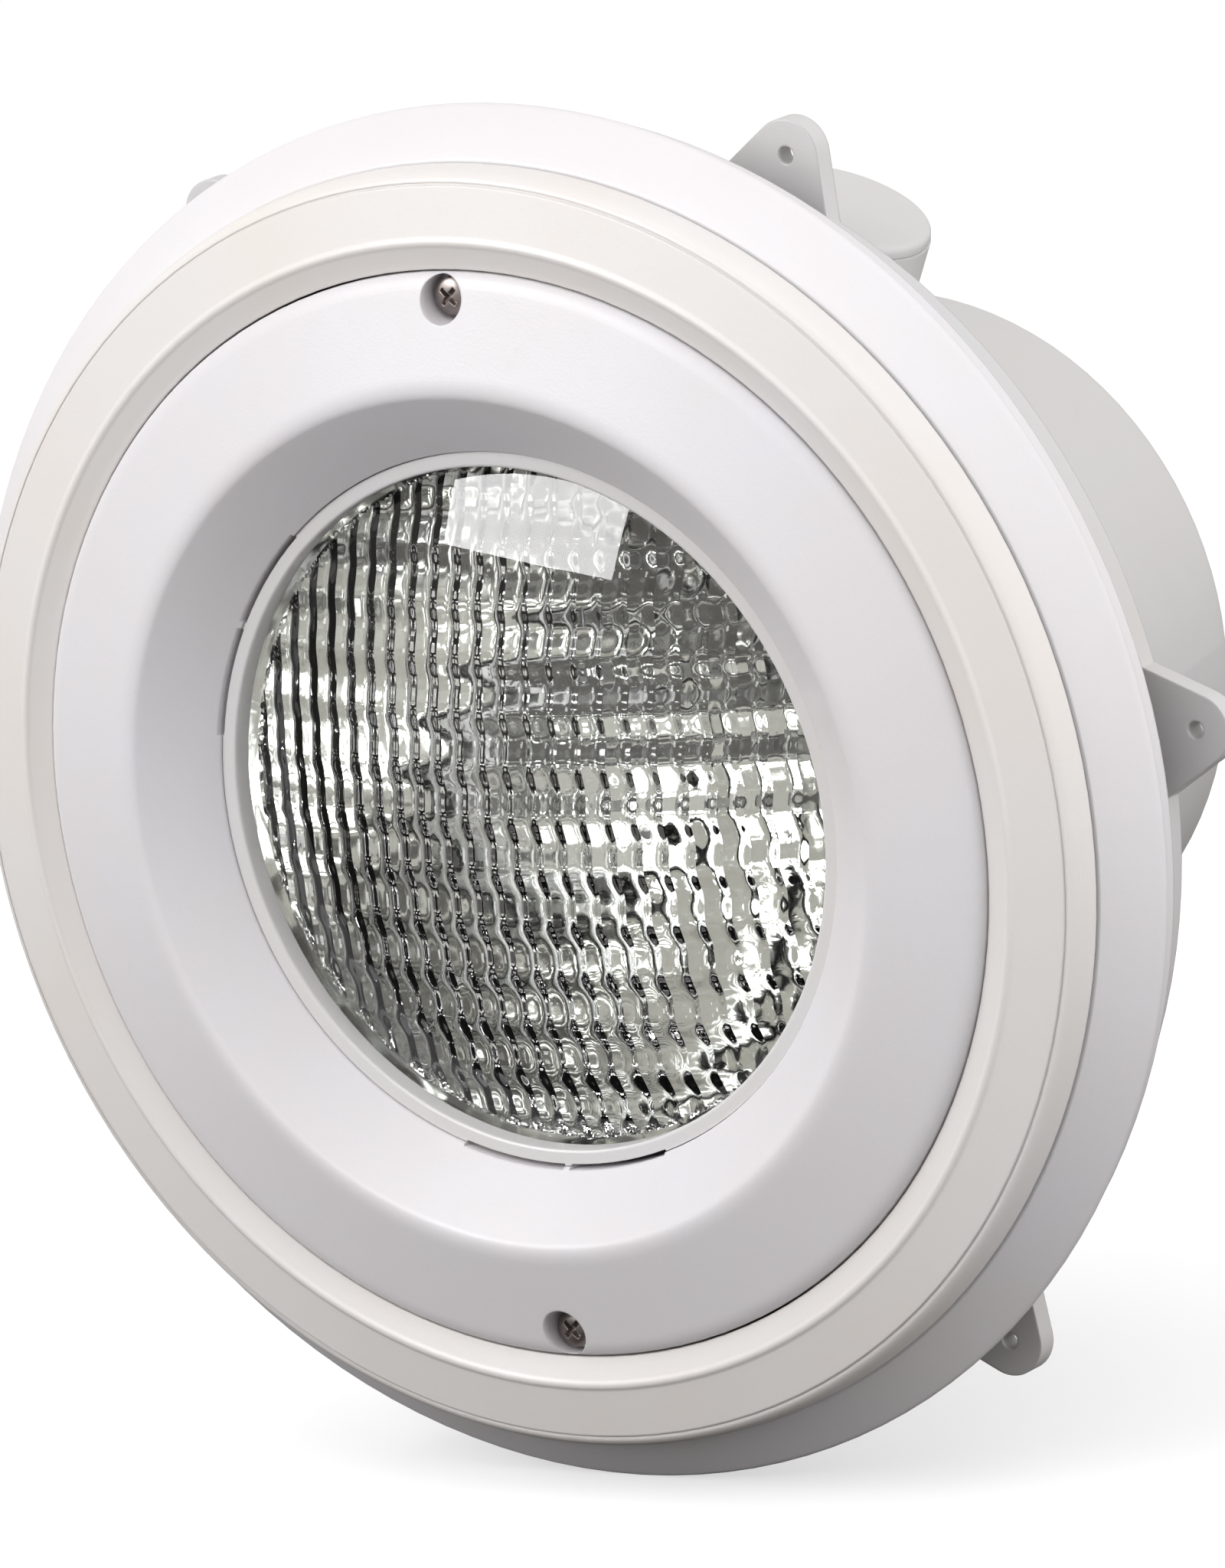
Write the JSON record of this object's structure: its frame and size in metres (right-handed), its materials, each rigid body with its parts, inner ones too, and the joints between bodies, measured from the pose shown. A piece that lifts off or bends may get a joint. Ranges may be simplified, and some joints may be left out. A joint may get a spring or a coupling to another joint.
{
  "type": "underwater pool light",
  "caption": "Round underwater pool light: domed fluted lamp in a white bezel with captive screws, cream face ring, flared collar, and a tapered wall niche with fixing ears and a conduit hub.",
  "frame": {"origin": "centre of the circle of ear mounting holes, in the plane of the ears' front faces", "axes": "+Y along the light's axis from its lens to the rear of its bucket, +Z through the upper bezel screw, +X to the right seen from the front"},
  "size_m": [0.3408, 0.1935, 0.3282],
  "materials": {
    "bezel_white": "satin moulded ABS, cool white",
    "ring_white": "gloss moulded, white",
    "cream": "satin moulded ABS, cream",
    "collar_white": "satin moulded ABS, cool white",
    "niche_grey": "fine matt moulded ABS, light grey",
    "housing_grey": "matt moulded",
    "black_plastic": "matt nylon",
    "rubber": "moulded seal",
    "gasket_grey": "flat seal",
    "resin": "cast resin",
    "lens_glass": "clear pressed glass, fluted",
    "mirror": "aluminised glass",
    "steel": "stainless",
    "screw_steel": "dulled stainless",
    "brass": "machined",
    "tungsten": "drawn wire",
    "wire_red": "wire insulation",
    "nylon": "natural nylon"
  },
  "bodies": {
    "niche": {"niche_shell": "niche_grey", "collar_ring": "collar_white", "face_ring": "cream", "niche_gasket": "gasket_grey", "face_gasket": "gasket_grey", "ring_screws": "steel", "screw_inserts": "brass"},
    "conduit_plug": {"conduit_plug": "niche_grey", "plug_o_ring": "rubber"},
    "lamp_unit": {"bezel": "bezel_white", "lens_ring": "ring_white", "lens_gasket": "rubber", "lamp_lens": "lens_glass", "lamp_reflector": "mirror", "filament": "tungsten", "filament_posts": "tungsten", "lamp_ferrules": "steel", "lamp_terminals": "brass", "ring_terminals": "steel", "terminal_screws": "steel", "lead_wires": "wire_red", "rim_cushion": "rubber", "lamp_housing": "housing_grey", "housing_gasket": "rubber", "housing_screws": "steel", "gland_body": "black_plastic", "gland_locknut": "black_plastic", "gland_seal": "rubber", "gland_potting": "resin"},
    "gland_follower": {"gland_washer": "nylon"},
    "gland_nut": {"gland_nut": "black_plastic"},
    "upper_carrier": {"upper_washer": "steel", "upper_retainer": "rubber"},
    "upper_screw": {"upper_screw": "screw_steel"},
    "lower_carrier": {"lower_washer": "steel", "lower_retainer": "rubber"},
    "lower_screw": {"lower_screw": "screw_steel"}
  },
  "joints": [
    {"name": "plug_slide", "type": "slide", "parent": "niche", "child": "conduit_plug", "axis": [0.4226, 0, 0.9063], "range_m": [0, 0.04]},
    {"name": "lamp_unit_slide", "type": "slide", "parent": "niche", "child": "lamp_unit", "axis": [0, -1, 0], "range_m": [0, 0.2]},
    {"name": "gland_travel", "type": "slide", "parent": "lamp_unit", "child": "gland_follower", "axis": [0, 1, 0], "range_m": [0, 0.00305]},
    {"name": "gland_turn", "type": "hinge", "parent": "gland_follower", "child": "gland_nut", "pos_m": [0, 0.1, 0], "axis": [0, 1, 0], "range_deg": [0, 720]},
    {"name": "upper_screw_travel", "type": "slide", "parent": "lamp_unit", "child": "upper_carrier", "axis": [0, -1, 0], "range_m": [0, 0.009]},
    {"name": "upper_screw_turn", "type": "hinge", "parent": "upper_carrier", "child": "upper_screw", "pos_m": [0, -0.02, 0.123], "axis": [0, -1, 0], "range_deg": [0, 4060]},
    {"name": "lower_screw_travel", "type": "slide", "parent": "lamp_unit", "child": "lower_carrier", "axis": [0, -1, 0], "range_m": [0, 0.009]},
    {"name": "lower_screw_turn", "type": "hinge", "parent": "lower_carrier", "child": "lower_screw", "pos_m": [0, -0.02, -0.123], "axis": [0, -1, 0], "range_deg": [0, 4060]}
  ],
  "couplings": [
    {"joint": "gland_travel", "follows": "gland_turn", "m_per_rad": 0.00023873},
    {"joint": "upper_screw_turn", "follows": "upper_screw_travel", "rad_per_m": 7854},
    {"joint": "lower_screw_turn", "follows": "lower_screw_travel", "rad_per_m": 7854}
  ]
}
